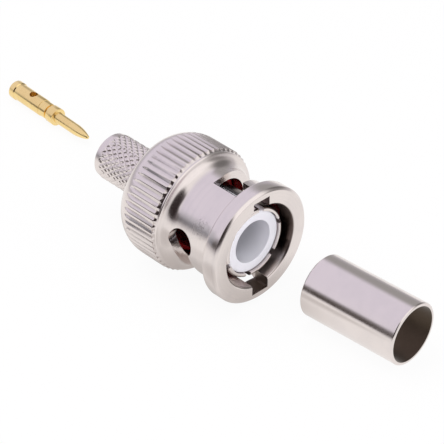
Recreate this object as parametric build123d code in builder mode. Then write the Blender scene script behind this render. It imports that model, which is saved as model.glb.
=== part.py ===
"""A crimp plug of the bayonet coaxial kind, laid out as a kit: plug, loose contact pin and loose ferrule.

The origin is the mouth of the mating bore, on the plug's axis. +X leaves the front of the plug, +Z is up.
All lengths are in millimetres. Angles about the axis run from +Y towards +Z, in degrees.
"""

from build123d import *
import os
from math import atan2, copysign, cos, radians, sin

# The other half of the coupling, which these sizes serve.
jack_shell_diameter = 9.6
jack_shell_wall = 0.75
stud_height = 0.7
socket_diameter = 1.35

# Coupling nut, outside. Lengths count back from the front face, or forward from the back face.
nut_skin = 1.01
flange_relief = 0.45
nut_front_chamfer = 0.3
flange_length = 2.0
flange_chamfer = 0.25
waist_wall = 0.35
waist_slope = 0.7
flare_length = 1.6
flare_radius = 1.6
flare_turn = 70.0
arc_steps = 3
rim_length = 0.2
rim_relief = 0.3
knurl_length = 3.5
nut_end_length = 2.37
nut_end_round = 0.9

# Coupling nut, inside.
jack_clearance = 0.15
mouth_chamfer = 0.2
shoulder_depth = 11.4
shoulder_land = 0.85
running_clearance = 0.1
nut_back_wall = 0.7

# Knurl on the coupling nut.
knurl_count = 56
knurl_depth = 0.28
knurl_width = 0.46
knurl_runout = 1.1

# Bayonet channels, a pair half a turn apart.
channel_count = 2
entry_angle = 89.5
channel_width = 2.35
entry_clearance = 0.55
entry_depth = 4.98
ramp_breakthrough = 0.45
ramp_sweep = 83.0
ramp_drop = 1.6
detent_sweep = 90.5
detent_rise = 0.23
detent_diameter = 3.3

# Outer contact.
contact_recess = 0.9
spring_preload = 0.15
contact_wall = 0.45
lip_chamfer = 0.22
spring_lip_length = 2.3
spring_neck_relief = 0.15
spring_neck_taper = 0.4
spring_root_length = 0.5
spring_slot_count = 6
spring_slot_width = 0.7
spring_slot_length = 6.2
spring_slot_angle = 16.0
spring_slot_depth = 0.6
body_flange_length = 1.0
seat_step = 0.25
hub_wall = 0.7
hub_overhang = 0.45
seat_shoulder_gap = 0.3

# Insulator. Its front face is the origin.
insulator_recess = 1.2
insulator_clearance = 0.03
insulator_edge = 0.1
insulator_wall = 1.2
mating_bore_depth = 5.6
web_thickness = 1.2
pin_clearance = 0.06
insulator_collar_length = 1.0

# Gasket round the root of the outer contact.
gasket_thickness = 2.3
gasket_bore_gap = 0.1
gasket_chamfer = 0.2

# Spring stack and retaining ring behind the body flange.
coupling_travel = 0.8
wave_thickness = 0.2
wave_count = 3
wave_steps = 6
stack_gap = 0.03
thrust_washer_thickness = 0.25
ring_thickness = 0.45
ring_hub_gap = 0.45
ring_grip = 0.45
ring_gap = 3.0
ring_side_clearance = 0.04

# Crimp body.
cap_length = 0.4
cable_bore_radius = 1.95
stem_wall = 0.85
stem_neck_length = 1.4
stem_neck_relief = 0.15
stem_knurl_length = 6.5
stem_band_length = 0.75
stem_band_relief = 0.08
cable_mouth_chamfer = 0.25

# Contact pin, loose.
pin_barrel_radius = 1.07
pin_collar_rise = 0.1
pin_collar_length = 0.9
pin_edge = 0.12
pin_barrel_length = 5.75
pin_step_relief = 0.07
pin_step_length = 1.2
pin_groove_rise = 0.1
pin_groove_length = 0.35
pin_disc_rise = 0.03
pin_disc_length = 1.2
pin_shaft_length = 3.3
pin_nose_length = 2.6
pin_tip_radius = 0.16
pin_bore_radius = 0.45
pin_bore_depth = 4.9
pin_hole_diameter = 1.05
pin_hole_station = 3.75

# Crimp ferrule, loose.
braid_room = 0.4
ferrule_wall = 0.44
ferrule_length = 12.4
ferrule_chamfer = 0.12

# Where the loose pieces lie on the surface that the nut stands on, measured from the nut's front face.
ferrule_ahead = 12.03
ferrule_aside = 3.81
ferrule_yaw = 3.6
pin_behind = 49.7
pin_aside = 6.8
pin_yaw = -2.6

# Radii that follow from the sizes above, from the contact outwards.
contact_radius = jack_shell_diameter / 2 - jack_shell_wall + spring_preload
contact_bore_radius = contact_radius - contact_wall
spring_neck_radius = contact_radius - spring_neck_relief
spring_slot_floor = contact_radius - spring_slot_depth
mating_bore_radius = contact_bore_radius - insulator_wall
seat_radius = contact_bore_radius + seat_step
hub_radius = seat_radius + hub_wall
nut_bore_radius = jack_shell_diameter / 2 + jack_clearance
gasket_radius = nut_bore_radius - gasket_bore_gap
body_flange_radius = nut_bore_radius + shoulder_land
nut_counterbore_radius = body_flange_radius + running_clearance
ring_outer_radius = nut_counterbore_radius + ring_grip
ring_inner_radius = hub_radius + ring_hub_gap
ring_groove_radius = ring_outer_radius + ring_side_clearance
nut_radius = ring_groove_radius + nut_skin
flange_radius = nut_radius - flange_relief
rim_radius = nut_radius - rim_relief
stud_tip_radius = jack_shell_diameter / 2 + stud_height
waist_radius = stud_tip_radius + waist_wall
ramp_inner_radius = nut_bore_radius - running_clearance
ramp_outer_radius = waist_radius + ramp_breakthrough
ramp_radius = (ramp_inner_radius + ramp_outer_radius) / 2
entry_floor_radius = stud_tip_radius + entry_clearance
floor_height = -nut_radius
washer_inner_radius = hub_radius + running_clearance
washer_outer_radius = body_flange_radius

pin_shaft_radius = socket_diameter / 2
pin_groove_radius = pin_shaft_radius + pin_groove_rise
pin_step_radius = pin_barrel_radius - pin_step_relief
pin_collar_radius = pin_barrel_radius + pin_collar_rise
pin_disc_radius = pin_barrel_radius + pin_disc_rise
pin_seat_radius = pin_disc_radius + pin_clearance
pin_hole_radius = pin_shaft_radius + pin_clearance
stem_radius = cable_bore_radius + stem_wall
stem_neck_radius = stem_radius - stem_neck_relief
stem_band_radius = stem_radius - stem_band_relief
ferrule_bore_radius = stem_radius + braid_room
ferrule_radius = ferrule_bore_radius + ferrule_wall

# Stations along the plug's axis, from the front to the back.
nut_front = insulator_recess
contact_front = nut_front - contact_recess
flange_back = nut_front - flange_length
ramp_front = nut_front - entry_depth
entry_length = entry_depth + channel_width / 2
detent_station = ramp_front - ramp_drop + detent_rise
shoulder = nut_front - shoulder_depth
root_front = shoulder + gasket_thickness + spring_root_length
seat_front = shoulder - seat_shoulder_gap
insulator_back = seat_front - insulator_collar_length
web_front = -mating_bore_depth
web_back = web_front - web_thickness
body_flange_back = shoulder - body_flange_length
wave_height = coupling_travel / 2 + wave_thickness
wave_front_centre = body_flange_back - stack_gap - wave_height / 2
wave_rear_centre = wave_front_centre - wave_height - stack_gap
thrust_front = wave_rear_centre - wave_height / 2 - stack_gap
thrust_back = thrust_front - thrust_washer_thickness
ring_front = thrust_back - ring_side_clearance
ring_back = ring_front - ring_thickness
nut_back = ring_back - ring_side_clearance - nut_back_wall
knurl_back = nut_back + nut_end_length
knurl_groove_back = knurl_back - knurl_runout
knurl_front = knurl_back + knurl_length
rim_back = knurl_front + rim_relief
flare_back = rim_back + rim_length
flare_front = flare_back + flare_length
hub_back = ring_back - hub_overhang
stem_front = hub_back - cap_length
stem_knurl_front = stem_front - stem_neck_length
stem_knurl_back = stem_knurl_front - stem_knurl_length
stem_back = stem_knurl_back - stem_band_length

os.makedirs("parts", exist_ok=True)


def save(piece, label):
    """Label one finished piece and write it to its own file."""
    piece.label = label
    export_step(piece, f"parts/{label}.step")


def outward(angle):
    """The direction that leaves the axis at an angle."""
    return Vector(0, cos(radians(angle)), sin(radians(angle)))


def radial_plane(station, angle):
    """A plane through the axis at a station, facing out at an angle; its x runs forward along the axis."""
    return Plane((station, 0, 0), x_dir=(1, 0, 0), z_dir=outward(angle))


def channel_plane(station, angle):
    """A plane across the axis at a station, facing back, with its x at an angle."""
    return Plane((station, 0, 0), x_dir=outward(angle), z_dir=(-1, 0, 0))


def stepped_arc(start, end):
    """Points of an arc that leaves its start along the axis and bends to its end, as a few straight steps."""
    length = end[0] - start[0]
    rise = end[1] - start[1]
    turn = 2 * atan2(abs(rise), abs(length))
    bend = abs(length) / sin(turn)
    points = []
    for step in range(arc_steps + 1):
        part_turn = turn * step / arc_steps
        station = start[0] + copysign(bend * sin(part_turn), length)
        radius = start[1] + copysign(bend * (1 - cos(part_turn)), rise)
        points.append((station, radius))
    return points


# Bayonet ramp: the helical slot through the waist, built about its own axis and placed once per channel.
with BuildPart() as ramp:
    with BuildLine() as ramp_path:
        Helix(ramp_drop * 360 / ramp_sweep, ramp_drop, ramp_radius)
    with BuildSketch(Plane(ramp_path.line @ 0, x_dir=(1, 0, 0), z_dir=ramp_path.line % 0)):
        Rectangle(ramp_outer_radius - ramp_inner_radius, channel_width)
    sweep(path=ramp_path.line, is_frenet=True)


# Coupling nut: turned blank, straight knurl, then the two bayonet channels.
cove_length = flare_radius * sin(radians(flare_turn))
cove_rise = flare_radius * (1 - cos(radians(flare_turn)))
cove_end = (flare_front - cove_length, waist_radius + cove_rise)
with BuildPart() as coupling_nut:
    with BuildSketch(Plane.XZ):
        with BuildLine():
            Polyline(
                (nut_front, nut_bore_radius + mouth_chamfer),
                (nut_front, flange_radius - nut_front_chamfer),
                (nut_front - nut_front_chamfer, flange_radius),
                (flange_back + flange_chamfer, flange_radius),
                (flange_back, flange_radius - flange_chamfer),
                (flange_back, waist_radius + waist_slope),
                (flange_back - waist_slope, waist_radius),
                *stepped_arc((flare_front, waist_radius), cove_end),
                (flare_back, rim_radius),
                (rim_back, rim_radius),
                (knurl_front, nut_radius),
                *stepped_arc((knurl_back, nut_radius), (nut_back, nut_radius - nut_end_round)),
                (nut_back, nut_counterbore_radius + mouth_chamfer),
                (nut_back + mouth_chamfer, nut_counterbore_radius),
                (ring_back - ring_side_clearance, nut_counterbore_radius),
                (ring_back - ring_side_clearance, ring_groove_radius),
                (ring_front + ring_side_clearance, ring_groove_radius),
                (ring_front + ring_side_clearance, nut_counterbore_radius),
                (shoulder, nut_counterbore_radius),
                (shoulder, nut_bore_radius),
                (nut_front - mouth_chamfer, nut_bore_radius),
                (nut_front, nut_bore_radius + mouth_chamfer),
            )
        make_face()
    revolve(axis=Axis.X)

    with BuildSketch(Plane.YZ.offset(knurl_groove_back)):
        with PolarLocations(nut_radius, knurl_count):
            Polygon(
                (-knurl_depth, 0),
                (knurl_depth, -knurl_width),
                (knurl_depth, knurl_width),
                align=None,
            )
    extrude(amount=rim_back - knurl_groove_back, mode=Mode.SUBTRACT)

    for turn in range(channel_count):
        entry = entry_angle + turn * 360 / channel_count
        detent = entry - detent_sweep

        with BuildSketch(radial_plane(nut_front, entry)):
            with Locations((-entry_length / 2, 0)):
                Rectangle(entry_length, channel_width)
        extrude(amount=entry_floor_radius, mode=Mode.SUBTRACT)

        add(channel_plane(ramp_front, entry).location * ramp.part, mode=Mode.SUBTRACT)

        with BuildSketch(radial_plane(detent_station, detent)):
            Circle(detent_diameter / 2)
        extrude(amount=nut_radius, mode=Mode.SUBTRACT)
save(coupling_nut.part, "coupling_nut")


# Outer contact: slotted spring fingers in front, the body flange and its hub behind.
with BuildPart() as outer_contact:
    with BuildSketch(Plane.XZ):
        with BuildLine():
            Polyline(
                (contact_front, contact_bore_radius),
                (contact_front, contact_radius - lip_chamfer),
                (contact_front - lip_chamfer, contact_radius),
                (contact_front - spring_lip_length, contact_radius),
                (contact_front - spring_lip_length - spring_neck_taper, spring_neck_radius),
                (root_front + spring_neck_taper, spring_neck_radius),
                (root_front, contact_radius),
                (shoulder, contact_radius),
                (shoulder, body_flange_radius),
                (body_flange_back, body_flange_radius),
                (body_flange_back, hub_radius),
                (hub_back, hub_radius),
                (hub_back, seat_radius),
                (seat_front, seat_radius),
                (seat_front, contact_bore_radius),
                (contact_front, contact_bore_radius),
            )
        make_face()
    revolve(axis=Axis.X)

    with BuildSketch(Plane.YZ.offset(contact_front)):
        with PolarLocations(contact_radius, spring_slot_count, start_angle=spring_slot_angle):
            Rectangle(2 * (contact_radius - spring_slot_floor), spring_slot_width)
    extrude(amount=-spring_slot_length, mode=Mode.SUBTRACT)
save(outer_contact.part, "outer_contact")


# Insulator: the open mating bore in front, a web with the pin's hole, the pin's seat behind.
insulator_radius = contact_bore_radius - insulator_clearance
insulator_collar_radius = seat_radius - insulator_clearance
with BuildPart() as insulator:
    with BuildSketch(Plane.XZ):
        with BuildLine():
            Polyline(
                (0, mating_bore_radius),
                (0, insulator_radius - insulator_edge),
                (-insulator_edge, insulator_radius),
                (seat_front, insulator_radius),
                (seat_front, insulator_collar_radius),
                (insulator_back, insulator_collar_radius),
                (insulator_back, pin_seat_radius),
                (web_back, pin_seat_radius),
                (web_back, pin_hole_radius),
                (web_front, pin_hole_radius),
                (web_front, mating_bore_radius),
                (0, mating_bore_radius),
            )
        make_face()
    revolve(axis=Axis.X)
save(insulator.part, "insulator")


# Gasket: a soft ring round the root of the outer contact, against the body flange.
with BuildPart() as gasket:
    with BuildSketch(Plane.XZ):
        with BuildLine():
            Polyline(
                (shoulder, contact_radius),
                (shoulder + gasket_thickness, contact_radius),
                (shoulder + gasket_thickness, gasket_radius - gasket_chamfer),
                (shoulder + gasket_thickness - gasket_chamfer, gasket_radius),
                (shoulder, gasket_radius),
                close=True,
            )
        make_face()
    revolve(axis=Axis.X)
save(gasket.part, "gasket")


# Spring stack: two wave washers, crest to crest, and the flat washer that they push on.
def wave_washer(centre, crest_sign):
    """A ring whose height runs in waves about a centre station; the sign says which way its crests point."""
    middle_radius = (washer_inner_radius + washer_outer_radius) / 2
    amplitude = crest_sign * (wave_height - wave_thickness) / 2
    lobe = 360 / wave_count
    with BuildPart() as washer:
        for first in range(wave_count):
            for step in range(wave_steps + 1):
                angle = (first + step / wave_steps) * lobe
                station = centre + amplitude * cos(radians(angle * wave_count))
                along = Vector(0, -sin(radians(angle)), cos(radians(angle)))
                middle = Vector(station, 0, 0) + outward(angle) * middle_radius
                with BuildSketch(Plane(middle, x_dir=outward(angle), z_dir=along)):
                    Rectangle(washer_outer_radius - washer_inner_radius, wave_thickness)
            loft(ruled=True)
    return washer.part


save(wave_washer(wave_front_centre, 1), "wave_washer_front")
save(wave_washer(wave_rear_centre, -1), "wave_washer_rear")

with BuildPart() as thrust_washer:
    with BuildSketch(Plane.YZ.offset(thrust_front)):
        Circle(washer_outer_radius)
        Circle(washer_inner_radius, mode=Mode.SUBTRACT)
    extrude(amount=-thrust_washer_thickness)
save(thrust_washer.part, "thrust_washer")


# Retaining ring: a split ring sprung into the groove inside the nut's back end.
with BuildPart() as retaining_ring:
    with BuildSketch(Plane.YZ.offset(ring_front)):
        Circle(ring_outer_radius)
        Circle(ring_inner_radius, mode=Mode.SUBTRACT)
        with Locations((0, -ring_outer_radius)):
            Rectangle(ring_gap, ring_outer_radius, mode=Mode.SUBTRACT)
    extrude(amount=-ring_thickness)
save(retaining_ring.part, "retaining_ring")


# Crimp body: a spigot pressed into the outer contact, a cap and the stem for the cable's braid.
with BuildPart() as crimp_body:
    with BuildSketch(Plane.XZ):
        with BuildLine():
            Polyline(
                (insulator_back, cable_bore_radius),
                (insulator_back, seat_radius),
                (hub_back, seat_radius),
                (hub_back, hub_radius),
                (stem_front, hub_radius),
                (stem_front, stem_neck_radius),
                (stem_knurl_front, stem_neck_radius),
                (stem_knurl_front, stem_radius),
                (stem_knurl_back, stem_radius),
                (stem_knurl_back, stem_band_radius),
                (stem_back, stem_band_radius),
                (stem_back, cable_bore_radius + cable_mouth_chamfer),
                (stem_back + cable_mouth_chamfer, cable_bore_radius),
                (insulator_back, cable_bore_radius),
            )
        make_face()
    revolve(axis=Axis.X)
save(crimp_body.part, "crimp_body")


# Crimp ferrule: a plain tube that lies beside the plug's front.
ferrule_axis = Vector(cos(radians(ferrule_yaw)), sin(radians(ferrule_yaw)), 0)
ferrule_centre = Vector(nut_front + ferrule_ahead, ferrule_aside, floor_height + ferrule_radius)
ferrule_start = ferrule_centre - ferrule_axis * (ferrule_length / 2)
with BuildPart() as crimp_ferrule:
    with BuildSketch(Plane(ferrule_start, z_dir=ferrule_axis)):
        Circle(ferrule_radius)
        Circle(ferrule_bore_radius, mode=Mode.SUBTRACT)
    extrude(amount=ferrule_length)
    outer_edges = crimp_ferrule.faces().filter_by(GeomType.CYLINDER).sort_by(SortBy.AREA)[-1].edges()
    chamfer(outer_edges.filter_by(GeomType.CIRCLE), length=ferrule_chamfer)
save(crimp_ferrule.part, "crimp_ferrule")


# Contact pin: a turned pin that lies behind the plug's stem, with its crimp bore and inspection hole.
pin_direction = Vector(cos(radians(pin_yaw)), sin(radians(pin_yaw)), 0)
pin_start = Vector(nut_front - pin_behind, pin_aside, floor_height + pin_collar_radius)
pin_plane = Plane(pin_start, x_dir=pin_direction, z_dir=pin_direction.cross(Vector(0, 0, 1)))
step_back = pin_barrel_length
groove_back = step_back + pin_step_length
disc_back = groove_back + pin_groove_length
disc_front = disc_back + pin_disc_length
nose_back = disc_front + pin_shaft_length
pin_tip = nose_back + pin_nose_length
with BuildPart() as contact_pin:
    with BuildSketch(pin_plane):
        with BuildLine():
            Polyline(
                (pin_bore_depth, 0),
                (pin_bore_depth - pin_bore_radius, pin_bore_radius),
                (0, pin_bore_radius),
                (0, pin_collar_radius - pin_edge),
                (pin_edge, pin_collar_radius),
                (pin_collar_length, pin_collar_radius),
                (pin_collar_length + pin_edge, pin_barrel_radius),
                (step_back, pin_barrel_radius),
                (step_back, pin_step_radius),
                (groove_back, pin_step_radius),
                (groove_back, pin_groove_radius),
                (disc_back, pin_groove_radius),
                (disc_back, pin_disc_radius),
                (disc_front, pin_disc_radius),
                (disc_front, pin_shaft_radius),
                *stepped_arc((nose_back, pin_shaft_radius), (pin_tip, pin_tip_radius)),
                (pin_tip, 0),
                (pin_bore_depth, 0),
            )
        make_face()
    revolve(axis=Axis(pin_start, pin_direction))
    with BuildSketch(Plane(pin_start + pin_direction * pin_hole_station)):
        Circle(pin_hole_diameter / 2)
    extrude(amount=pin_collar_radius, mode=Mode.SUBTRACT)
save(contact_pin.part, "contact_pin")
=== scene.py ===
"""Models and finishes a bayonet coaxial crimp plug, its loose contact pin and its loose ferrule.

The plug's axis is X. A station is a place along it, counted towards the mating end. Outlines give
stations and radii in millimetres, and everything in the scene itself is in metres.
"""

import math

import bmesh
import bpy
from bpy.props import FloatProperty, FloatVectorProperty, IntProperty, PointerProperty
from mathutils import Matrix, Vector


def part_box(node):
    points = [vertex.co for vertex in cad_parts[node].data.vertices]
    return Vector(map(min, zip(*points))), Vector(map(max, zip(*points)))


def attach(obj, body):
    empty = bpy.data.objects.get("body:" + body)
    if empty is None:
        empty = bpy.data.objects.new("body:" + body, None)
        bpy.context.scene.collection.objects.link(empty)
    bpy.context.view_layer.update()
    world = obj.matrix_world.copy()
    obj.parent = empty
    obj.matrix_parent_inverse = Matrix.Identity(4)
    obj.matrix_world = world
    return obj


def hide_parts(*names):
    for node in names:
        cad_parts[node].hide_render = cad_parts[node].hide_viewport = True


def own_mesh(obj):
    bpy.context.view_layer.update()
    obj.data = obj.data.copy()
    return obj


bl_info = {
    "name": "Bayonet crimp plug kit",
    "version": (1, 0, 0),
    "blender": (4, 5, 0),
    "location": "View3D > Sidebar > Plug Kit",
    "description": "Models a bayonet coaxial crimp plug with its loose contact pin and ferrule",
    "category": "Object",
}

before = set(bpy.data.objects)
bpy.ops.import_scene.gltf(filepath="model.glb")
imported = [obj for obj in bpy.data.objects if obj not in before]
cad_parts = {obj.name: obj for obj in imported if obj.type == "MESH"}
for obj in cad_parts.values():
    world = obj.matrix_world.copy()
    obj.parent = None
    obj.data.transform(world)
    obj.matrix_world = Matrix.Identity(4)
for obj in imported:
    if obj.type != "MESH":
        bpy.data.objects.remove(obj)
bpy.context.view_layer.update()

MM = 0.001
FRONT = Vector((1, 0, 0))
NUT_LOW, NUT_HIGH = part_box("coupling_nut")
CONTACT_LOW, CONTACT_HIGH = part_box("outer_contact")
INSULATOR_LOW, INSULATOR_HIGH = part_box("insulator")
GASKET_LOW, GASKET_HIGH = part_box("gasket")
BODY_LOW, BODY_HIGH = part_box("crimp_body")
FERRULE_LOW, FERRULE_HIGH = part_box("crimp_ferrule")
FLOOR = FERRULE_LOW.z


# Settings


def length(label, about, millimetres):
    """A length property whose default is given in millimetres."""
    return FloatProperty(
        name=label, description=about, default=millimetres * MM, min=0.0, precision=6, unit="LENGTH"
    )


def turn(label, about, degrees):
    """An angle property whose default is given in degrees."""
    return FloatProperty(
        name=label, description=about, default=math.radians(degrees), subtype="ANGLE"
    )


def paint(label, about, colour):
    """A colour property in linear light."""
    return FloatVectorProperty(
        name=label, description=about, default=colour, size=3, min=0.0, max=1.0, subtype="COLOR"
    )


def share(label, about, value):
    """A plain factor from 0 to 1."""
    return FloatProperty(
        name=label, description=about, default=value, min=0.0, max=1.0, subtype="FACTOR"
    )


def count(label, about, value, least):
    """A number of like features."""
    return IntProperty(name=label, description=about, default=value, min=least)


class PLUGKIT_PG_nut(bpy.types.PropertyGroup):
    """Sizes of the coupling nut."""

    knurl_radius: length("Knurl radius", "Radius over the straight knurl", 7.4)
    flange_radius: length("Flange radius", "Radius of the front flange", 6.95)
    rim_radius: length("Rim radius", "Radius of the smooth rim ahead of the knurl", 7.1)
    waist_radius: length("Waist radius", "Radius between flange and flare", 5.85)
    bore_radius: length("Bore radius", "Radius of the front bore", 4.95)
    counterbore_radius: length("Counterbore radius", "Radius of the rear bore", 5.9)
    tooth_count: count("Teeth", "Teeth of the straight knurl", 56, 8)
    groove_depth: length("Groove depth", "Depth of the grooves between the teeth", 0.18)
    edge: length("Broken edge", "Width of the edges that the tool has broken", 0.05)
    entry_angle: turn("Entry angle", "Angle of the first entry channel", 89.5)
    channel_width: length("Channel width", "Width of the bayonet channels", 2.35)


class PLUGKIT_PG_shell(bpy.types.PropertyGroup):
    """Sizes of the spring contact, the insulator and the gasket."""

    contact_radius: length("Contact radius", "Outer radius of the spring fingers", 4.2)
    contact_bore: length("Contact bore", "Inner radius of the spring fingers", 3.75)
    slot_count: count("Slots", "Slots between the fingers", 6, 2)
    slot_width: length("Slot width", "Width of a slot", 0.7)
    slot_angle: turn("Slot angle", "Angle of the first slot", 16.0)
    insulator_radius: length("Insulator radius", "Radius of the insulator's front", 3.72)
    mating_bore: length("Mating bore", "Radius of the insulator's open bore", 2.55)
    gasket_radius: length("Gasket radius", "Outer radius of the red gasket", 4.85)


class PLUGKIT_PG_stem(bpy.types.PropertyGroup):
    """Sizes of the crimp body."""

    stem_radius: length("Stem radius", "Radius over the diamond knurl", 2.8)
    cable_bore: length("Cable bore", "Radius of the bore for the dielectric", 1.95)
    diamond_count: count("Diamonds", "Diamonds round the stem", 23, 6)
    diamond_depth: length("Diamond depth", "Depth of the diamond knurl", 0.12)
    diamond_slant: turn("Diamond slant", "Angle of the knurl's grooves to the axis", 38.0)


class PLUGKIT_PG_loose(bpy.types.PropertyGroup):
    """Sizes of the pieces that lie beside the plug."""

    ferrule_radius: length("Ferrule radius", "Outer radius of the ferrule", 3.64)
    ferrule_bore: length("Ferrule bore", "Inner radius of the ferrule", 3.2)
    ferrule_length: length("Ferrule length", "Length of the ferrule", 12.4)
    ferrule_yaw: turn("Ferrule turn", "How far the ferrule is turned from the plug's axis", 3.6)
    pin_barrel: length("Pin barrel", "Radius of the contact pin's barrel", 1.07)
    pin_shaft: length("Pin shaft", "Radius of the contact pin's shaft", 0.675)
    pin_yaw: turn("Pin turn", "How far the pin is turned from the plug's axis", -2.6)


class PLUGKIT_PG_finish(bpy.types.PropertyGroup):
    """Colours and gloss of the finishes."""

    nickel: paint("Nickel", "Bright nickel plate", (0.785, 0.72, 0.695))
    nickel_shade: paint("Nickel shade", "Nickel in clouds and tool marks", (0.71, 0.655, 0.645))
    nickel_gloss: share("Nickel roughness", "Roughness of the bright plate", 0.14)
    gold: paint("Gold", "Gold plate", (0.95, 0.73, 0.34))
    gold_shade: paint("Gold shade", "Gold in clouds and tool marks", (0.86, 0.62, 0.27))
    insulator: paint("Insulator", "Milky fluoropolymer", (0.92, 0.925, 0.99))
    gasket: paint("Gasket", "Soft red silicone", (0.72, 0.02, 0.026))
    steel: paint("Spring steel", "Blank spring steel", (0.50, 0.49, 0.48))
    bronze: paint("Spring bronze", "Phosphor bronze strip", (0.70, 0.46, 0.28))


class PLUGKIT_PG_stage(bpy.types.PropertyGroup):
    """Camera and light."""

    azimuth: turn("Azimuth", "Camera's angle round the kit", 45.92)
    elevation: turn("Elevation", "Camera's height above the horizon", 36.62)
    distance: length("Distance", "Camera's distance from the point it looks at", 242.6)
    lens: FloatProperty(
        name="Lens", description="Focal length in millimetres", default=172.1, min=20.0
    )
    softbox: paint("Softbox", "Colour of the light overhead and behind", (0.84, 0.805, 0.915))
    floor: paint("Floor", "Colour of the floor's light", (1.0, 0.99, 0.98))


SETTINGS = {
    "plugkit_nut": PLUGKIT_PG_nut,
    "plugkit_shell": PLUGKIT_PG_shell,
    "plugkit_stem": PLUGKIT_PG_stem,
    "plugkit_loose": PLUGKIT_PG_loose,
    "plugkit_finish": PLUGKIT_PG_finish,
    "plugkit_stage": PLUGKIT_PG_stage,
}


def own_properties(group):
    """A settings group's own properties by name."""
    found = group.bl_rna.properties.items()
    return {name: held for name, held in found if name not in ("rna_type", "name")}


def in_mm(group):
    """A settings group with its lengths in millimetres and its angles in degrees."""
    values = {}
    for name, about in own_properties(group).items():
        value = getattr(group, name)
        if about.unit == "LENGTH":
            value = value / MM
        elif about.unit == "ROTATION":
            value = math.degrees(value)
        values[name] = value
    return type("Sizes", (), values)


def mm(*lengths):
    """Millimetres in metres."""
    return tuple(millimetres * MM for millimetres in lengths)


# Shader maths


class Signal:
    """A node's output that can stand in a Python expression."""

    def __init__(self, maker, socket):
        self.maker = maker
        self.socket = socket

    def math(self, operation, *values):
        """One step of arithmetic."""
        return self.maker.node("ShaderNodeMath", {"operation": operation}, dict(enumerate(values)))

    def __add__(self, other):
        return self.math("ADD", self, other)

    def __sub__(self, other):
        return self.math("SUBTRACT", self, other)

    def __mul__(self, other):
        return self.math("MULTIPLY", self, other)

    def __truediv__(self, other):
        return self.math("DIVIDE", self, other)

    def __rsub__(self, other):
        return self.math("SUBTRACT", other, self)

    __radd__ = __add__
    __rmul__ = __mul__

    def power(self, exponent):
        """The signal raised to an exponent."""
        return self.math("POWER", self, exponent)

    def most(self, other):
        """The larger of the two."""
        return self.math("MAXIMUM", self, other)

    def rise(self, low, high):
        """0 below low, 1 above high, smooth between."""
        return self.maker.node(
            "ShaderNodeMapRange",
            {"interpolation_type": "SMOOTHSTEP"},
            {"Value": self, "From Min": low, "From Max": high, "To Min": 0.0, "To Max": 1.0},
        )

    def fall(self, low, high):
        """1 below low, 0 above high, smooth between."""
        return 1.0 - self.rise(low, high)

    def sister(self, output):
        """Another output of the same node."""
        return Signal(self.maker, self.socket.node.outputs[output])


class Maker:
    """Adds nodes to one tree."""

    def __init__(self, tree):
        self.tree = tree
        tree.nodes.clear()

    def node(self, kind, settings=None, inputs=None, output=0):
        """Add a node: its settings first, then the values and links of its sockets."""
        made = self.tree.nodes.new(kind)
        for name, value in (settings or {}).items():
            setattr(made, name, value)
        for name, value in (inputs or {}).items():
            socket = made.inputs[name]
            if isinstance(value, Signal):
                self.tree.links.new(value.socket, socket)
            elif socket.type == "RGBA":
                socket.default_value = (*value, 1.0)
            else:
                socket.default_value = value
        return Signal(self, made.outputs[output]) if made.outputs else None

    def point(self):
        """A point of the surface in its piece's own coordinates."""
        return self.node("ShaderNodeTexCoord", output="Object")

    def parts(self, vector):
        """A vector's three numbers."""
        first = self.node("ShaderNodeSeparateXYZ", inputs={0: vector})
        return first, first.sister(1), first.sister(2)

    def vector(self, *parts):
        """Three numbers as a vector."""
        return self.node("ShaderNodeCombineXYZ", inputs=dict(enumerate(parts)))

    def measure(self, operation, *vectors):
        """A number taken from one or two vectors."""
        return self.node(
            "ShaderNodeVectorMath", {"operation": operation}, dict(enumerate(vectors)), "Value"
        )

    def along(self, vector, direction):
        """How far a vector reaches in a direction."""
        return self.measure("DOT_PRODUCT", vector, tuple(direction))

    def noise(self, vector, scale, detail, roughness):
        """Smooth random light and dark, with scale in marks to a metre."""
        return self.node(
            "ShaderNodeTexNoise",
            inputs={"Vector": vector, "Scale": scale, "Detail": detail, "Roughness": roughness},
        )

    def mix(self, factor, first, second):
        """A colour between two. Its node has sockets of other kinds too, so they go by number."""
        colours = {0: factor, 6: first, 7: second}
        return self.node("ShaderNodeMix", {"data_type": "RGBA"}, colours, 2)

    def bump(self, height, strength, distance):
        """The normal of a surface with this height."""
        return self.node(
            "ShaderNodeBump", inputs={"Height": height, "Strength": strength, "Distance": distance}
        )

    def shader(self, **inputs):
        """The surface itself."""
        named = {name.replace("_", " "): value for name, value in inputs.items()}
        surface = self.node("ShaderNodeBsdfPrincipled", inputs=named)
        self.node("ShaderNodeOutputMaterial", inputs={"Surface": surface})


def new_finish(name):
    """An empty material and its maker."""
    made = bpy.data.materials.new(name)
    made.use_nodes = True
    return made, Maker(made.node_tree)


def darker(colour, factor):
    """A colour times a factor."""
    return tuple(factor * part for part in colour)


def local_place(maker, origin, direction):
    """A point of the surface, its station along a piece's axis and its distance from that axis."""
    point = maker.point()
    moved = maker.node(
        "ShaderNodeVectorMath", {"operation": "SUBTRACT"}, {0: point, 1: tuple(origin)}
    )
    station = maker.along(moved, direction)
    span = maker.measure("LENGTH", moved)
    away = (span * span - station * station).most(0.0).power(0.5)
    return point, station, away


def tool_rings(maker, station, away, per_metre, layer, detail, roughness):
    """Rings that a turning tool leaves, which change with station and radius alone."""
    place = maker.vector(station * per_metre, away * per_metre, layer)
    return maker.noise(place, 1.0, detail, roughness)


# Finishes

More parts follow.
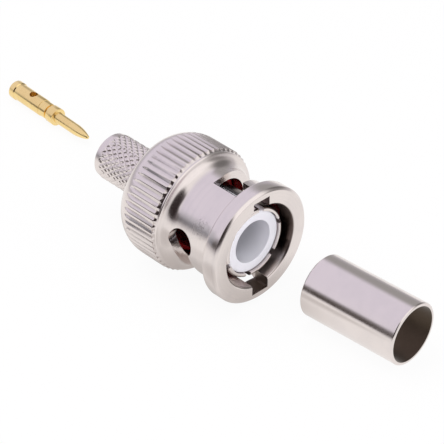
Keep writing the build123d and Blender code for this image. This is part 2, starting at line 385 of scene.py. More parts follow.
# Marks to a metre
FINE_RINGS, BROAD_RINGS, PLATE_CLOUDS, PITS, SCUFFS = 5000.0, 1400.0, 260.0, 5200.0, 3400.0
SCUFF_PLACE = mm(-2.8, -5.1, 2.9)  # the middle of the scuffs on the nut's waist
# Colours of the painted shade in the nut's mouth, the darker one for its upper side
MOUTH_SHADE, MOUTH_UPPER_SHADE = (0.34, 0.29, 0.26), (0.13, 0.10, 0.09)
BORE_BROWN, BORE_BROWN_LIGHT = (0.046, 0.032, 0.023), (0.11, 0.082, 0.060)


class Plating:
    """Plate over turned metal: fine rings from the tool, faint clouds and small pits."""

    def __init__(
        self, name, colour, shade, gloss, origin=(0, 0, 0), direction=FRONT, mark=1.0, grain=0.0
    ):
        self.material, self.maker = new_finish(name)
        maker = self.maker
        self.point, self.station, self.away = local_place(maker, origin, direction)
        rings = tool_rings(maker, self.station, self.away, FINE_RINGS, 0.0, 3.0, 0.6)
        broad = tool_rings(maker, self.station, self.away, BROAD_RINGS, 3.0, 2.0, 0.5)
        self.cloud = maker.noise(self.point, PLATE_CLOUDS, 4.0, 0.6)
        pits = maker.noise(self.point, PITS, 2.0, 0.7)
        ring_height, pit_height = 0.5 * mark, 0.25 + grain
        height = rings * ring_height + broad * ring_height + pits * pit_height
        self.normal = maker.bump(height, 0.22, 0.00003)
        clouded = self.cloud.rise(0.42, 0.62)
        toned = clouded * 0.35 + rings.rise(0.35, 0.75) * (0.25 * mark)
        self.tint = maker.mix(toned, colour, shade)
        self.rough = (
            clouded * 0.05 + rings * (0.05 * mark) + pits * (0.04 + grain * 0.2) + (gloss - 0.05)
        )

    def stain(self, mask, colour, duller=0.0):
        """Colour the plate where the mask is 1, and dull it there."""
        self.tint = self.maker.mix(mask, self.tint, colour)
        if duller:
            self.rough = self.rough + mask * duller

    def done(self):
        """Lay the plate on its material."""
        self.maker.shader(
            Base_Color=self.tint, Metallic=1.0, Roughness=self.rough, Normal=self.normal
        )
        return self.material


def nut_plate(finish):
    """Bright plate with painted shade in the nut's mouth and in the knurl's grooves, scuffed on the
    waist.
    """
    plate = Plating(
        "bright_nickel", finish.nickel, finish.nickel_shade, finish.nickel_gloss, mark=1.5
    )
    maker, station, away = plate.maker, plate.station, plate.away
    front = NUT_HIGH.x / MM

    # Painted shade in the nut's mouth: the walls off the bore are shaded, and the upper side is
    # shaded darkest.
    mouth = away.fall(*mm(6.1, 6.2)) * station.rise(*mm(front - 1.95, front - 1.9))
    mouth = mouth * station.fall(*mm(front - 0.12, front - 0.03))
    bore_wall = away.fall(*mm(4.99, 5.02))
    upper_side = maker.along(plate.point, (0.0, 0.94, 0.34)).rise(*mm(1.5, 3.2))
    mouth_painted_shade = maker.mix(bore_wall, MOUTH_SHADE, plate.tint)
    mouth_painted_shade = maker.mix(upper_side, mouth_painted_shade, MOUTH_UPPER_SHADE)
    plate.stain(mouth, mouth_painted_shade, duller=0.14)

    # Painted shade in the knurl's grooves.
    grooves = away.fall(*mm(7.2, 7.37)) * away.rise(*mm(7.12, 7.16))
    grooves = grooves * station.fall(*mm(-8.3, -8.0)) * station.rise(*mm(-12.6, -11.0))
    plate.stain(grooves * 0.5, darker(finish.nickel_shade, 0.45))

    scuffs = maker.noise(plate.point, SCUFFS, 3.0, 0.7).rise(0.49, 0.58)
    scuffs = scuffs * maker.measure("DISTANCE", plate.point, SCUFF_PLACE).fall(*mm(0.4, 1.5))
    plate.stain(scuffs * 0.6, darker(finish.nickel_shade, 0.5), duller=0.25)
    return plate.done()


def contact_plate(finish):
    """Bright plate with painted shade at the root of the fingers, deep in the nut."""
    plate = Plating(
        "contact_nickel", finish.nickel, finish.nickel_shade, finish.nickel_gloss * 0.9
    )
    # Painted shade on the plate behind the fingers' root, deep in the nut.
    root = plate.station.fall(*mm(-2.2, -1.6))
    plate.stain(root, darker(finish.nickel_shade, 0.2), duller=0.15)
    return plate.done()


def ferrule_plate(finish, bore, centre, direction):
    """Bright plate outside, and a dull brown bore."""
    plate = Plating(
        "drawn_nickel", finish.nickel, finish.nickel_shade, finish.nickel_gloss + 0.02,
        origin=centre, direction=direction, mark=0.35,
    )
    brown = plate.maker.mix(plate.cloud, BORE_BROWN, BORE_BROWN_LIGHT)
    plate.stain(plate.away.fall(*mm(bore + 0.02, bore + 0.1)), brown, duller=0.35)
    return plate.done()


def strip_metal(name, colour, gloss):
    """Blank strip for springs."""
    return Plating(name, colour, darker(colour, 0.8), gloss, grain=0.15).done()


def milky_plastic(name, colour):
    """Turned fluoropolymer: faint rings, cloudy colour, waxy gloss, and painted shade that darkens
    it down the bore.
    """
    finish, maker = new_finish(name)
    point, station, away = local_place(maker, (0, 0, 0), FRONT)
    rings = tool_rings(maker, station, away, FINE_RINGS, 0.0, 2.0, 0.5)
    cloud = maker.noise(point, 420.0, 3.0, 0.6)
    tint = maker.mix(cloud.rise(0.35, 0.65) * 0.5 + rings * 0.3, colour, darker(colour, 0.93))
    # Painted shade: the bore grows darker with depth.
    bore = station.fall(*mm(-3.2, -0.1)) * away.fall(*mm(2.56, 2.6))
    tint = maker.mix(bore, tint, darker(colour, 0.58))
    normal = maker.bump(rings, 0.12, 0.00002)
    rough = cloud * 0.12 + 0.34
    maker.shader(Base_Color=tint, Roughness=rough, Normal=normal, Specular_IOR_Level=0.4)
    return finish


def soft_rubber(name, colour):
    """Moulded silicone: a matt skin with fine specks."""
    finish, maker = new_finish(name)
    point = maker.point()
    grain = maker.noise(point, 3800.0, 4.0, 0.65)
    cloud = maker.noise(point, 500.0, 2.0, 0.5)
    tint = maker.mix(cloud.rise(0.3, 0.7), colour, darker(colour, 0.72))
    normal = maker.bump(grain, 0.3, 0.00003)
    maker.shader(Base_Color=tint, Roughness=grain * 0.15 + 0.36, Normal=normal)
    return finish


# Mesh helpers

SAME_POINT = 1e-7  # metres within which an outline's turned ends are one point
SLIVER = 1e-6  # metres under which an edge that a cut leaves is dissolved


def turned(outline, steps, closed=True):
    """Turn an outline of (station, radius) pairs in millimetres about the axis."""
    bm = bmesh.new()
    verts = [bm.verts.new((station * MM, radius * MM, 0.0)) for station, radius in outline]
    edges = [bm.edges.new(pair) for pair in zip(verts, verts[1:])]
    if closed:
        edges.append(bm.edges.new((verts[-1], verts[0])))
    bmesh.ops.spin(
        bm, geom=verts + edges, cent=(0, 0, 0), axis=FRONT, angle=math.tau, steps=steps,
        use_merge=True,
    )
    bmesh.ops.remove_doubles(bm, verts=bm.verts, dist=SAME_POINT)
    bmesh.ops.recalc_face_normals(bm, faces=bm.faces)
    return bm


def arc(start, end, steps):
    """Points of an arc that leaves its start along the axis and bends to its end."""
    run, rise = end[0] - start[0], end[1] - start[1]
    swing = 2 * math.atan2(abs(rise), abs(run))
    bend = abs(run) / math.sin(swing)
    angles = [swing * step / steps for step in range(steps + 1)]
    return [
        (
            start[0] + math.copysign(bend * math.sin(a), run),
            start[1] + math.copysign(bend * (1 - math.cos(a)), rise),
        )
        for a in angles
    ]


def break_edges(bm, millimetres, limit=30.0, segments=2):
    """Round every edge that is sharper than the limit in degrees."""
    sharpest = math.radians(limit)
    sharp = [e for e in bm.edges if len(e.link_faces) == 2 and e.calc_face_angle(0.0) > sharpest]
    bmesh.ops.bevel(
        bm,
        geom=sharp,
        offset=millimetres * MM,
        offset_type="OFFSET",
        affect="EDGES",
        segments=segments,
        profile=0.5,
        material=-1,
        clamp_overlap=True,
    )


def angle_of(point):
    """A point's angle about the axis, from +Y towards +Z."""
    return math.atan2(point.z, point.y)


def settle(target):
    """Apply an object's modifiers to its mesh."""
    bpy.context.view_layer.update()
    graph = bpy.context.evaluated_depsgraph_get()
    result = bpy.data.meshes.new_from_object(target.evaluated_get(graph))
    target.modifiers.clear()
    old = target.data
    target.data = result
    bpy.data.meshes.remove(old)


def smooth(target, limit):
    """Shade an object smooth up to a limit in degrees, its broad faces flat beside narrow ones."""
    target.data.shade_smooth()
    target.data.set_sharp_from_angle(angle=math.radians(limit))
    modifier = target.modifiers.new("flats", "WEIGHTED_NORMAL")
    modifier.mode = "FACE_AREA"
    modifier.weight = 50
    modifier.keep_sharp = True
    settle(target)


def new_object(bm, name):
    """An object in the scene with a bmesh's shape."""
    mesh = bpy.data.meshes.new(name)
    bm.to_mesh(mesh)
    bm.free()
    made = bpy.data.objects.new(name, mesh)
    bpy.context.scene.collection.objects.link(made)
    return made


def to_object(bm, name, finish, smooth_limit=35.0):
    """A finished object of a bmesh, shaded smooth up to a limit in degrees where one is given."""
    made = new_object(bm, name)
    made.data.materials.append(finish)
    if smooth_limit:
        smooth(made, smooth_limit)
    return made


def cutter(bm, matrix=None):
    """A closed shape to cut with."""
    if matrix:
        bmesh.ops.transform(bm, matrix=matrix, verts=bm.verts)
    bmesh.ops.recalc_face_normals(bm, faces=bm.faces)
    return new_object(bm, "cutter")


def cut(target, cutters):
    """Cut closed shapes out of an object, and leave one plain closed mesh."""
    for tool in cutters:
        modifier = target.modifiers.new("cut", "BOOLEAN")
        modifier.operation = "DIFFERENCE"
        modifier.solver = "MANIFOLD"
        modifier.object = tool
    settle(target)
    for tool in cutters:
        mesh = tool.data
        bpy.data.objects.remove(tool)
        bpy.data.meshes.remove(mesh)
    clear_slivers(target)


def clear_slivers(target):
    """Dissolve the slivers and the folded faces that a cut leaves beside its edges."""
    bm = bmesh.new()
    bm.from_mesh(target.data)
    bmesh.ops.remove_doubles(bm, verts=bm.verts, dist=2 * SLIVER)
    bmesh.ops.dissolve_degenerate(bm, dist=SLIVER, edges=bm.edges)
    many_sided = [face for face in bm.faces if len(face.verts) > 4]
    bmesh.ops.triangulate(bm, faces=many_sided, ngon_method="EAR_CLIP")
    bmesh.ops.dissolve_degenerate(bm, dist=SLIVER, edges=bm.edges)
    for edge in [e for e in bm.edges if len(e.link_faces) > 2]:
        if edge.is_valid and len(edge.link_faces) > 2:
            folded = sorted(edge.link_faces, key=lambda face: face.calc_area())[:2]
            bmesh.ops.delete(bm, geom=folded, context="FACES")
    bm.to_mesh(target.data)
    bm.free()


def outward(station, degrees):
    """A frame at a station on the axis: z leaves the axis at an angle, x runs forward."""
    angle = math.radians(degrees)
    out = Vector((0, math.cos(angle), math.sin(angle)))
    across = out.cross(FRONT)
    matrix = Matrix((FRONT, across, out)).transposed().to_4x4()
    matrix.translation = FRONT * (station * MM)
    return matrix


def rod(radius, height, sides, matrix):
    """A round bar along z, its middle where the matrix puts it."""
    bm = bmesh.new()
    bmesh.ops.create_cone(
        bm, cap_ends=True, segments=sides, radius1=radius * MM, radius2=radius * MM,
        depth=height * MM, matrix=matrix,
    )
    return bm


def drill(station, degrees, radius, start, reach):
    """A round cutter that points outwards, from one distance off the axis to another."""
    middle = Matrix.Translation((0, 0, (start + reach) / 2 * MM))
    return cutter(rod(radius, reach - start, 64, middle), outward(station, degrees))


def block(station, degrees, size, centre):
    """A square cutter, its size and centre given in the frame at a station."""
    bm = bmesh.new()
    matrix = Matrix.Translation(Vector(centre) * MM) @ Matrix.Diagonal((*(Vector(size) * MM), 1.0))
    bmesh.ops.create_cube(bm, size=1.0, matrix=matrix)
    return cutter(bm, outward(station, degrees))


def lay(bm, place, yaw):
    """Move a loose piece from the origin to its place and turn it; gives its axis too."""
    matrix = Matrix.Translation(place) @ Matrix.Rotation(math.radians(yaw), 4, "Z")
    bmesh.ops.transform(bm, matrix=matrix, verts=bm.verts)
    return matrix, matrix.to_3x3() @ FRONT


def seat(piece, node, body):
    """Hide the solid that a piece stands for, and attach the piece to the body it rides on."""
    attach(piece, body)
    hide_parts(node)


# Pieces

NUT_SHOULDER = -10.2  # where the nut's front bore ends, against the contact's flange
INSULATOR_FOOT = -10.5  # where the insulator widens, and the contact's bore with it
KNURL_FRONT = -8.1
# How deep the nut's knurl is, at even steps from one groove's middle to the next
GROOVE = (1.0, 0.72, 0.28, 0.0, 0.0, 0.0, 0.28, 0.72)


class PLUGKIT_OT_coupling_nut(bpy.types.Operator):
    """Turn the coupling nut, knurl it and cut its bayonet channels"""

    bl_idname = "plugkit.coupling_nut"
    bl_label = "Coupling nut"

    def execute(self, context):
        nut = in_mm(context.scene.plugkit_nut)
        bm = turned(self.outline(nut), steps=nut.tooth_count * len(GROOVE))
        self.knurl(bm, nut)
        break_edges(bm, nut.edge, limit=34.0)
        plate = nut_plate(context.scene.plugkit_finish)
        piece = to_object(bm, "coupling_nut_turned", plate, smooth_limit=None)
        cut(piece, self.channels(nut))
        smooth(piece, limit=30.0)
        seat(piece, "coupling_nut", "nut")
        return {"FINISHED"}

    def outline(self, nut):
        """From the front face over flange, waist, flare and knurl, and back through the bore."""
        front, back = NUT_HIGH.x / MM, NUT_LOW.x / MM
        bore, inner = nut.bore_radius, nut.counterbore_radius
        flange, waist, rim, knurl = (
            nut.flange_radius, nut.waist_radius, nut.rim_radius, nut.knurl_radius
        )
        flange_back, flare_front, flare_back = front - 2.0, -6.0, -7.503
        rim_front, rim_back, knurl_back = -7.6, -7.8, back + 2.37
        ring_front, ring_back, ring_radius = -12.74, -13.27, 6.39
        return [
            (front, bore + 0.2),
            (front, flange - 0.3),
            (front - 0.3, flange),
            (front - 1.78, flange),
            (flange_back, flange - 0.22),
            (flange_back, waist + 0.62),
            *arc((front - 2.75, waist), (front - 2.06, waist + 0.55), 5)[::-1],
            *arc((flare_front, waist), (flare_back, waist + 1.053), 12),
            (rim_front, rim),
            (rim_back, rim),
            (KNURL_FRONT, knurl),
            *arc((knurl_back, knurl), (back + 0.1, 6.56), 16),
            (back, 6.4),
            (back, inner + 0.2),
            (back + 0.2, inner),
            (ring_back, inner),
            (ring_back, ring_radius),
            (ring_front, ring_radius),
            (ring_front, inner),
            (NUT_SHOULDER, inner),
            (NUT_SHOULDER, bore),
            (front - 0.2, bore),
        ]

    def knurl(self, bm, nut):
        """Press the straight grooves into the turned blank."""
        groove_back, groove_front = NUT_LOW.x / MM + 1.27, KNURL_FRONT + 0.01
        least_radius = 7.0
        pitch = math.tau / nut.tooth_count
        for vert in bm.verts:
            radius = math.hypot(vert.co.y, vert.co.z) / MM
            station = vert.co.x / MM
            if not (groove_back < station < groove_front and radius > least_radius):
                continue
            step = round(angle_of(vert.co) / pitch * len(GROOVE)) % len(GROOVE)
            floor = nut.knurl_radius - nut.groove_depth * GROOVE[step]
            if GROOVE[step] and floor < radius:
                vert.co.yz = vert.co.yz * (floor / radius)

    def channels(self, nut):
        """Cutters for both channels: a square entry, a falling slot and a round detent hole."""
        front = NUT_HIGH.x / MM
        entry_size, entry_centre = (7.155, nut.channel_width, 3.05), (-2.5775, 0, 4.525)
        slot_station, detent_station, detent_turn, detent_radius = -3.78, -5.15, -90.5, 1.65
        tools = []
        for side in (0.0, 180.0):
            entry = nut.entry_angle + side
            tools.append(block(front, entry, entry_size, entry_centre))
            tools.append(self.falling_slot(slot_station, entry, nut.channel_width / 2))
            tools.append(drill(detent_station, entry + detent_turn, detent_radius, 3.0, 8.0))
        return tools

    def falling_slot(self, station, degrees, half):
        """The slot between the entry and the detent: a block swept along a helix."""
        drop, sweep, steps = 1.6, 83.0, 60
        inside, middle, outside = 4.5, 5.575, 6.3
        lean = math.atan2(drop, math.radians(sweep) * middle)
        reach = half / math.cos(lean)
        low, high = station - reach, station + reach
        corners = [(low, inside), (high, inside), (high, outside), (low, outside)]
        bm = bmesh.new()
        verts = [bm.verts.new((x * MM, radius * MM, 0.0)) for x, radius in corners]
        face = bm.faces.new(verts)
        start = Matrix.Rotation(math.radians(degrees), 3, "X")
        bmesh.ops.rotate(bm, verts=verts, cent=(0, 0, 0), matrix=start)
        cap = bmesh.ops.duplicate(bm, geom=[face, *face.edges, *verts])["geom"]
        bmesh.ops.spin(
            bm,
            geom=cap,
            cent=(0, 0, 0),
            axis=FRONT,
            angle=-math.radians(sweep),
            dvec=FRONT * (-drop * MM / steps),
            steps=steps,
            use_merge=False,
        )
        bmesh.ops.remove_doubles(bm, verts=bm.verts, dist=SAME_POINT)
        return cutter(bm)


class PLUGKIT_OT_outer_contact(bpy.types.Operator):
    """Turn the outer contact and slot its spring fingers"""

    bl_idname = "plugkit.outer_contact"
    bl_label = "Outer contact"

    def execute(self, context):
        shell = in_mm(context.scene.plugkit_shell)
        bm = turned(self.outline(shell), steps=192)
        break_edges(bm, 0.04)
        plate = contact_plate(context.scene.plugkit_finish)
        piece = to_object(bm, "outer_contact_turned", plate, smooth_limit=None)
        slot_size, slot_centre = (7.2, shell.slot_width, 2.0), (-2.6, 0, 4.2)
        tools = []
        for slot in range(shell.slot_count):
            angle = shell.slot_angle + slot * 360 / shell.slot_count
            tools.append(block(CONTACT_HIGH.x / MM, angle, slot_size, slot_centre))
        cut(piece, tools)
        smooth(piece, limit=30.0)
        seat(piece, "outer_contact", "plug_body")
        return {"FINISHED"}

    def outline(self, shell):
        """From the fingers' lip over their waist to flange and hub, and back through the bore."""
        front, back = CONTACT_HIGH.x / MM, CONTACT_LOW.x / MM
        bore, radius = shell.contact_bore, shell.contact_radius
        lip, waist = radius - 0.22, radius - 0.15
        flange_back, flange_radius, hub_radius, foot_radius = -11.2, 5.8, 4.7, 4.0
        return [
            (front, bore),
            (front, lip),
            *arc((front - 0.3, radius), (front, lip), 4)[::-1][1:],
            (front - 2.3, radius),
            (front - 2.7, waist),
            (-7.0, waist),
            (-7.4, radius),
            (NUT_SHOULDER, radius),
            (NUT_SHOULDER, flange_radius),
            (flange_back, flange_radius),
            (flange_back, hub_radius),
            (back, hub_radius),
            (back, foot_radius),
            (INSULATOR_FOOT, foot_radius),
            (INSULATOR_FOOT, bore),
        ]


class PLUGKIT_OT_insulator(bpy.types.Operator):
    """Turn the white insulator with its open mating bore"""

    bl_idname = "plugkit.insulator"
    bl_label = "Insulator"

    def execute(self, context):
        shell = in_mm(context.scene.plugkit_shell)
        front, back = INSULATOR_HIGH.x / MM, INSULATOR_LOW.x / MM
        radius, bore = shell.insulator_radius, shell.mating_bore
        foot_radius, seat_radius, shaft_hole = 3.97, 1.16, 0.735
        web_front, web_back, chamfer = -5.6, -6.8, 0.1
        outline = [
            (front, bore),
            (front, radius - chamfer),
            (front - chamfer, radius),
            (INSULATOR_FOOT, radius),
            (INSULATOR_FOOT, foot_radius),
            (back, foot_radius),
            (back, seat_radius),
            (web_back, seat_radius),
            (web_back, shaft_hole),
            (web_front, shaft_hole),
            (web_front, bore),
        ]
        bm = turned(outline, steps=160)
        break_edges(bm, 0.07, segments=3)
        plastic = milky_plastic("milky_insulator", context.scene.plugkit_finish.insulator)
        piece = to_object(bm, "insulator_turned", plastic)
        seat(piece, "insulator", "plug_body")
        return {"FINISHED"}


class PLUGKIT_OT_gasket(bpy.types.Operator):
    """Mould the red gasket round the contact's root"""

    bl_idname = "plugkit.gasket"
    bl_label = "Gasket"

    def execute(self, context):
        shell = in_mm(context.scene.plugkit_shell)
        front, back = GASKET_HIGH.x / MM, GASKET_LOW.x / MM
        inside, outside = shell.contact_radius, shell.gasket_radius
        outline = [(back, inside), (front, inside), (front, outside), (back, outside)]
        bm = turned(outline, steps=128)
        break_edges(bm, 0.2, segments=4)
        rubber = soft_rubber("red_rubber", context.scene.plugkit_finish.gasket)
        piece = to_object(bm, "gasket_moulded", rubber)
        seat(piece, "gasket", "plug_body")
        return {"FINISHED"}


class PLUGKIT_OT_crimp_body(bpy.types.Operator):
    """Turn the crimp body and roll the diamond knurl on its stem"""

    bl_idname = "plugkit.crimp_body"
    bl_label = "Crimp body"

    def execute(self, context):
        stem = in_mm(context.scene.plugkit_stem)
        knurl_front, knurl_back, steps_per_diamond = -15.48, -21.98, 11
        outline = self.outline(stem, knurl_front, knurl_back)
        bm = turned(outline, steps=stem.diamond_count * steps_per_diamond)
        self.roll(bm, stem, knurl_front, knurl_back)
        finish = context.scene.plugkit_finish
        plate = Plating(
            "rolled_nickel", finish.nickel, finish.nickel_shade, finish.nickel_gloss + 0.06,
            mark=0.5, grain=0.2,
        )
        piece = to_object(bm, "crimp_body_knurled", plate.done(), smooth_limit=30.0)
        seat(piece, "crimp_body", "plug_body")
        return {"FINISHED"}

    def outline(self, stem, knurl_front, knurl_back):
        """From the spigot over collar and stem, with many rows for the diamond knurl."""
        front, back = BODY_HIGH.x / MM, BODY_LOW.x / MM
        radius, bore, rows, lip = stem.stem_radius, stem.cable_bore, 88, 0.25
        spigot_radius, collar_radius = 4.0, 4.7
        collar_front, collar_back = -13.68, -14.08
        run = knurl_back - knurl_front
        return [
            (front, bore),
            (front, spigot_radius),
            (collar_front, spigot_radius),
            (collar_front, collar_radius),
            (collar_back, collar_radius),
            (collar_back, radius - 0.15),
            (knurl_front + 0.1, radius - 0.15),
            *((knurl_front + run * row / rows, radius) for row in range(rows + 1)),
            (knurl_back - 0.1, radius - 0.12),
            (back + 0.1, radius - 0.12),
            (back, radius - 0.22),
            (back, bore + lip),
            (back + lip, bore),
        ]

    def roll(self, bm, stem, knurl_front, knurl_back):
        """Press two crossing sets of grooves into the stem, shallower at the knurl's ends."""
        radius, groove_width, run_out = stem.stem_radius, 0.52, 0.4
        slack, end_slack = 0.01, 0.001
        lean = math.tan(math.radians(stem.diamond_slant)) / radius
        for vert in bm.verts:
            away = math.hypot(vert.co.y, vert.co.z) / MM
            station = vert.co.x / MM
            rolled = knurl_back - end_slack <= station <= knurl_front + end_slack
            if abs(away - radius) > slack or not rolled:
                continue
            around = angle_of(vert.co)
            twist = (station - knurl_front) * lean
            heights = []
            for angle in (around + twist, around - twist):
                phase = angle * stem.diamond_count / math.tau % 1.0
                heights.append(min(1.0, abs(phase - 0.5) * 2 / groove_width))
            to_end = min(knurl_front - station, station - knurl_back)
            ease = min(1.0, max(0.0, to_end) / run_out)
            depth = stem.diamond_depth * (1.0 - min(heights)) * ease
            vert.co.yz = vert.co.yz * ((away - depth) / away)


class PLUGKIT_OT_springs(bpy.types.Operator):
    """Press the wave washers and finish the hidden washer and ring"""

    bl_idname = "plugkit.springs"
    bl_label = "Springs and ring"

    def execute(self, context):
        finish = context.scene.plugkit_finish
        bronze = strip_metal("spring_bronze_strip", finish.bronze, 0.26)
        steel = strip_metal("spring_steel_strip", finish.steel, 0.24)
        inside, outside, half, waves, wave_height = 4.8, 5.8, 0.1, 3, 0.2
        for node, sign in (("wave_washer_front", 1.0), ("wave_washer_rear", -1.0)):
            low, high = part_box(node)
            centre = (low.x + high.x) / 2 / MM
            front, back = centre + half, centre - half
            outline = [(back, inside), (front, inside), (front, outside), (back, outside)]
            bm = turned(outline, steps=96)
            for vert in bm.verts:
                vert.co.x += sign * wave_height * MM * math.cos(waves * angle_of(vert.co))
            piece = to_object(bm, node + "_pressed", bronze)
            seat(piece, node, "plug_body")
            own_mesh(piece)
        for node in ("thrust_washer", "retaining_ring"):
            for material_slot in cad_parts[node].material_slots:
                material_slot.material = steel
        return {"FINISHED"}


class PLUGKIT_OT_ferrule(bpy.types.Operator):
    """Draw the crimp ferrule that lies in front of the plug"""

    bl_idname = "plugkit.ferrule"
    bl_label = "Crimp ferrule"

    def execute(self, context):
        loose = in_mm(context.scene.plugkit_loose)
        half, radius, bore = loose.ferrule_length / 2, loose.ferrule_radius, loose.ferrule_bore
        chamfer = 0.12
        outline = [
            (-half, bore),
            (half, bore),
            (half, radius - chamfer),
            (half - chamfer, radius),
            (chamfer - half, radius),
            (-half, radius - chamfer),
        ]
        bm = turned(outline, steps=160)
        break_edges(bm, 0.05)
        centre = (FERRULE_LOW + FERRULE_HIGH) / 2
        _, direction = lay(bm, centre, loose.ferrule_yaw)
        plate = ferrule_plate(context.scene.plugkit_finish, bore, centre, direction)
        piece = to_object(bm, "crimp_ferrule_drawn", plate)
        piece.visible_glossy = False  # the nut's front face doesn't mirror it
        seat(piece, "crimp_ferrule", "plug_body")
        return {"FINISHED"}


class PLUGKIT_OT_contact_pin(bpy.types.Operator):
    """Turn the gold contact pin that lies behind the plug"""

    bl_idname = "plugkit.contact_pin"
    bl_label = "Contact pin"

    def execute(self, context):
        loose = in_mm(context.scene.plugkit_loose)
        bm = turned(self.outline(loose), steps=96, closed=False)
        break_edges(bm, 0.03, limit=40.0)
        start = Vector((-48.5 * MM, 6.8 * MM, FLOOR + (loose.pin_barrel + 0.1) * MM))
        matrix, direction = lay(bm, start, loose.pin_yaw)
        finish = context.scene.plugkit_finish
        plate = Plating(
            "gold_plating", finish.gold, finish.gold_shade, 0.2, origin=start, direction=direction
        )
        piece = to_object(bm, "contact_pin_turned", plate.done(), smooth_limit=None)
        hole_station, hole_radius, hole_height = 3.75, 0.525, 1.6
        middle = Matrix.Translation((hole_station * MM, 0, hole_height / 2 * MM))
        cut(piece, [cutter(rod(hole_radius, hole_height, 48, matrix @ middle))])
        smooth(piece, limit=30.0)
        seat(piece, "contact_pin", "plug_body")
        return {"FINISHED"}

    def outline(self, loose):
        """From the bottom of the crimp bore over barrel, neck, disc and shaft to the nose."""
        barrel, shaft, bore, depth = loose.pin_barrel, loose.pin_shaft, 0.45, 4.9
        flare, step, neck, disc = barrel + 0.097, barrel - 0.07, shaft + 0.1, barrel + 0.03
        step_back, neck_back, disc_back, shaft_back = 5.75, 6.95, 7.3, 8.5
        return [
            (depth, 0.0),
            (depth - bore, bore),
            (0.0, bore),
            (0.0, barrel - 0.02),
            (0.12, flare),
            (0.9, flare),
            (1.02, barrel),
            (step_back, barrel),
            (step_back, step),
            (neck_back, step),
            (neck_back, neck),
            (disc_back, neck),
            (disc_back, disc),
            (shaft_back, disc),
            (shaft_back, shaft),
            *arc((11.8, shaft), (14.33, 0.19), 14),
            (14.38, 0.13),
            (14.4, 0.0),
        ]


# Stage

WHITE = (1.0, 1.0, 1.0)
# A bright window stands in front of the plug, a dark room beside it.
STUDIO = (
    (114.0, 24.0, 12.0, 30.0, (0.39, 0.385, 0.385)),
    (82.0, 24.0, 8.0, 32.0, (0.19, 0.185, 0.185)),
    (52.0, 8.0, 5.0, 20.0, (0.28, 0.27, 0.27)),
    (14.0, 38.0, 16.0, 34.0, (1.16, 1.14, 1.14)),
    (-130.0, 8.0, 4.0, 15.0, (0.58, 0.58, 0.63)),
    (-128.0, 3.5, 2.0, 9.0, (0.25, 0.255, 0.285)),
    (-112.0, 6.0, 5.0, 16.0, (0.18, 0.165, 0.165)),
    (-118.0, 4.0, 2.0, 8.0, (0.075, 0.062, 0.057)),
    (-92.0, 10.0, 6.0, 22.0, (0.12, 0.10, 0.105)),
    (-80.0, 44.0, 6.0, 20.0, (0.10, 0.085, 0.09)),
    (-57.0, 21.0, 27.0, 40.0, (0.035, 0.026, 0.026)),
)
# Soft lamps: name, place in metres, diameter in metres and power in watts
LAMPS = (
    ("overhead_fill", (-0.1, -0.12, 0.6), 0.5, 1.2),
    ("front_fill", (0.45, -0.3, 0.3), 0.3, 1.2),
)


def towards(azimuth, elevation):
    """The direction at an azimuth from +X towards +Y and an elevation, in degrees."""
    around, up = math.radians(azimuth), math.radians(elevation)
    flat = math.cos(up)
    return Vector((math.cos(around) * flat, math.sin(around) * flat, math.sin(up)))


def patch(along, across, centre, half, outer):
    """1 in the middle of an oval on the floor, given in millimetres, and 0 outside it."""
    forward = (along - centre[0] * MM) / (half[0] * MM)
    aside = (across - centre[1] * MM) / (half[1] * MM)
    return (forward.power(2.0) + aside.power(2.0)).fall(0.1, outer)


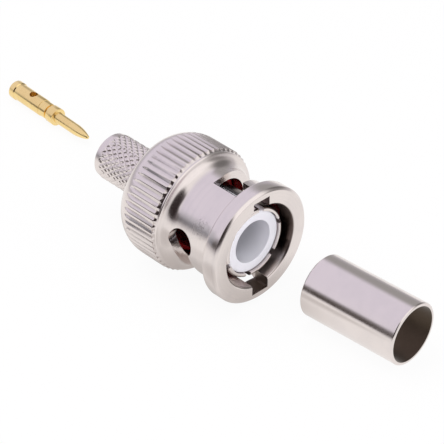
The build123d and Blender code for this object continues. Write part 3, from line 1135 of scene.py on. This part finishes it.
class PLUGKIT_OT_stage(bpy.types.Operator):
    """Lay the white floor, set the soft light and place the camera"""

    bl_idname = "plugkit.stage"
    bl_label = "Stage"

    def execute(self, context):
        stage = context.scene.plugkit_stage
        self.floor(stage)
        self.light(context.scene, stage)
        self.camera(context.scene, stage)
        context.scene.view_settings.view_transform = "Standard"
        return {"FINISHED"}

    def floor(self, stage):
        """The plate mirrors it with painted shade far away, and with a painted shadow under the
        plug and beside it.
        """
        bm = bmesh.new()
        height = Matrix.Translation((0, 0, FLOOR))
        bmesh.ops.create_grid(bm, x_segments=1, y_segments=1, size=3.0, matrix=height)
        material, maker = new_finish("white_floor")
        direct = maker.node("ShaderNodeLightPath", output="Is Camera Ray")
        mirrored = direct.sister("Is Glossy Ray").most(direct.sister("Is Transmission Ray"))
        indirect = 1.0 - direct
        point = maker.point()
        along, across, _ = maker.parts(point)
        # Painted shade: mirrors see the floor darker far away.
        far = maker.measure("LENGTH", point).rise(0.03, 0.16) * indirect
        # Painted shadow, seen only in mirrors, under the plug and beside it.
        under = patch(along, across, (-9.0, 0.0), (14.0, 8.0), 2.4) * 0.8
        beside = patch(along, across, (-1.0, -16.0), (12.0, 10.0), 1.4) * 0.62
        tint = maker.mix(far, maker.mix(direct, stage.floor, WHITE), (0.58, 0.56, 0.58))
        tint = maker.mix(under.most(beside) * indirect, tint, (0.50, 0.47, 0.45))
        lit = maker.node("ShaderNodeBsdfDiffuse", inputs={"Color": (0.9, 0.89, 0.88)})
        glow = maker.node("ShaderNodeEmission", inputs={"Color": tint, "Strength": 1.0})
        glowing = (direct + mirrored) * 0.93
        surface = maker.node("ShaderNodeMixShader", inputs={0: glowing, 1: lit, 2: glow})
        maker.node("ShaderNodeOutputMaterial", inputs={"Surface": surface})
        ground = to_object(bm, "white_floor", material, smooth_limit=None)

    def light(self, scene, stage):
        """The studio that the plate mirrors, which is plain white to look at, and the lamps."""
        scene.world = bpy.data.worlds.new("studio")
        scene.world.use_nodes = True
        maker = Maker(scene.world.node_tree)
        ray = maker.node("ShaderNodeTexCoord", output="Generated")
        height = maker.parts(ray)[2]
        behind = maker.along(ray, towards(175.0, 10.0)).rise(-0.05, 0.55)
        sky = maker.mix(behind, (1.02, 1.0, 1.0), stage.softbox)
        horizon = maker.mix(behind, (0.80, 0.78, 0.78), (0.56, 0.54, 0.60))
        sky = maker.mix(height.fall(-0.02, 0.3), sky, horizon)
        for azimuth, elevation, inner, outer, colour in STUDIO:
            area = maker.along(ray, towards(azimuth, elevation))
            area = area.rise(math.cos(math.radians(outer)), math.cos(math.radians(inner)))
            sky = maker.mix(area, sky, colour)
        sky = maker.mix(height.fall(-0.3, -0.1), sky, stage.floor)
        direct = maker.node("ShaderNodeLightPath", output="Is Camera Ray")
        seen = maker.mix(direct, sky, WHITE)
        shown = maker.node("ShaderNodeBackground", inputs={"Color": seen, "Strength": 1.0})
        maker.node("ShaderNodeOutputWorld", inputs={"Surface": shown})
        for lamp in LAMPS:
            self.fill(scene, *lamp)

    def fill(self, scene, name, place, size, energy):
        """A soft lamp that lifts matt surfaces and leaves the plate's reflections as they are."""
        lamp = bpy.data.lights.new(name, "AREA")
        lamp.shape = "DISK"
        lamp.size = size
        lamp.energy = energy
        lamp.color = (1.0, 0.985, 0.99)
        made = bpy.data.objects.new(name, lamp)
        made.location = place
        made.rotation_mode = "QUATERNION"
        made.rotation_quaternion = Vector(place).to_track_quat("Z", "Y")
        made.visible_glossy = False
        scene.collection.objects.link(made)

    def camera(self, scene, stage):
        data = bpy.data.cameras.new("camera")
        data.lens = stage.lens
        data.sensor_width = 36.0
        data.clip_start = 0.01
        data.clip_end = 10.0
        made = bpy.data.objects.new("camera", data)
        aim = Vector((-12.0 * MM, 7.0 * MM, FLOOR))
        around, up = stage.azimuth, stage.elevation
        flat = math.cos(up)
        back = Vector((math.sin(around) * flat, -math.cos(around) * flat, math.sin(up)))
        made.location = aim + back * stage.distance
        made.rotation_mode = "QUATERNION"
        made.rotation_quaternion = (-back).to_track_quat("-Z", "Y")
        scene.collection.objects.link(made)
        scene.camera = made


class PLUGKIT_PT_kit(bpy.types.Panel):
    bl_idname = "PLUGKIT_PT_kit"
    bl_label = "Plug Kit"
    bl_space_type = "VIEW_3D"
    bl_region_type = "UI"
    bl_category = "Plug Kit"

    def draw(self, context):
        layout = self.layout
        for operator in OPERATORS:
            layout.operator(operator.bl_idname)
        for name in SETTINGS:
            box = layout.box()
            group = getattr(context.scene, name)
            for held in own_properties(group):
                box.prop(group, held)


OPERATORS = (
    PLUGKIT_OT_coupling_nut,
    PLUGKIT_OT_outer_contact,
    PLUGKIT_OT_insulator,
    PLUGKIT_OT_gasket,
    PLUGKIT_OT_crimp_body,
    PLUGKIT_OT_springs,
    PLUGKIT_OT_ferrule,
    PLUGKIT_OT_contact_pin,
    PLUGKIT_OT_stage,
)


def register():
    for cls in (*SETTINGS.values(), *OPERATORS, PLUGKIT_PT_kit):
        bpy.utils.register_class(cls)
    for name, cls in SETTINGS.items():
        setattr(bpy.types.Scene, name, PointerProperty(type=cls))


def unregister():
    for name in SETTINGS:
        delattr(bpy.types.Scene, name)
    for cls in reversed((*SETTINGS.values(), *OPERATORS, PLUGKIT_PT_kit)):
        bpy.utils.unregister_class(cls)


def main():
    """Build every piece and the stage."""
    register()
    bpy.ops.plugkit.coupling_nut()
    bpy.ops.plugkit.outer_contact()
    bpy.ops.plugkit.insulator()
    bpy.ops.plugkit.gasket()
    bpy.ops.plugkit.crimp_body()
    bpy.ops.plugkit.springs()
    bpy.ops.plugkit.ferrule()
    bpy.ops.plugkit.contact_pin()
    bpy.ops.plugkit.stage()


if __name__ == "__main__":
    main()
